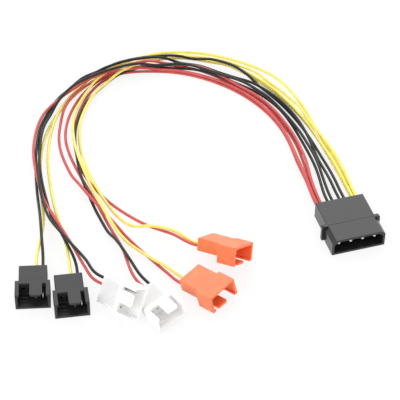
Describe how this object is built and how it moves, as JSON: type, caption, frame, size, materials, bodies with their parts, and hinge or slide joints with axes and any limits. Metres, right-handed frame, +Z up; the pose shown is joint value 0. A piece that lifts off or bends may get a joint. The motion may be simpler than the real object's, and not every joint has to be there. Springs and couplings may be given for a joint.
{
  "type": "fan adapter cable",
  "caption": "Adapter cable that splits a drive-type power connector to small fan connectors through loose coloured leads, laid out in a wide bow.",
  "frame": {"origin": "centre of the power connector's underside, on the surface that the cable lies on", "axes": "-Y out of the power connector's mouth, +X to the right of one who looks along +Y with the leads going away, +Z up"},
  "size_m": [0.15, 0.164, 0.0173],
  "materials": {
    "black_nylon": "satin moulded",
    "natural_nylon": "natural, slightly milky moulded",
    "orange_nylon": "bright moulded",
    "tinned_contact": "bright tin over brass",
    "yellow_insulation": "smooth flexible PVC",
    "red_insulation": "smooth flexible PVC",
    "black_insulation": "smooth flexible PVC"
  },
  "bodies": {
    "root": {"power_housing": "black_nylon", "power_contact_1": "tinned_contact", "power_contact_2": "tinned_contact", "power_contact_3": "tinned_contact", "power_contact_4": "tinned_contact", "fan_housing_12v_a": "black_nylon", "fan_contact_12v_a_1": "tinned_contact", "fan_contact_12v_a_2": "tinned_contact", "fan_housing_12v_b": "black_nylon", "fan_contact_12v_b_1": "tinned_contact", "fan_contact_12v_b_2": "tinned_contact", "fan_housing_5v_a": "natural_nylon", "fan_contact_5v_a_1": "tinned_contact", "fan_contact_5v_a_2": "tinned_contact", "fan_housing_5v_b": "natural_nylon", "fan_contact_5v_b_1": "tinned_contact", "fan_contact_5v_b_2": "tinned_contact", "fan_housing_7v_a": "orange_nylon", "fan_contact_7v_a_1": "tinned_contact", "fan_contact_7v_a_2": "tinned_contact", "fan_housing_7v_b": "orange_nylon", "fan_contact_7v_b_1": "tinned_contact", "fan_contact_7v_b_2": "tinned_contact", "lead_12v_a_yellow": "yellow_insulation", "lead_12v_a_black": "black_insulation", "lead_12v_b_black": "black_insulation", "lead_12v_b_yellow": "yellow_insulation", "lead_5v_a_red": "red_insulation", "lead_5v_a_black": "black_insulation", "lead_5v_b_red": "red_insulation", "lead_5v_b_black": "black_insulation", "lead_7v_a_red": "red_insulation", "lead_7v_a_yellow": "yellow_insulation", "lead_7v_b_red": "red_insulation", "lead_7v_b_yellow": "yellow_insulation"}
  },
  "joints": []
}
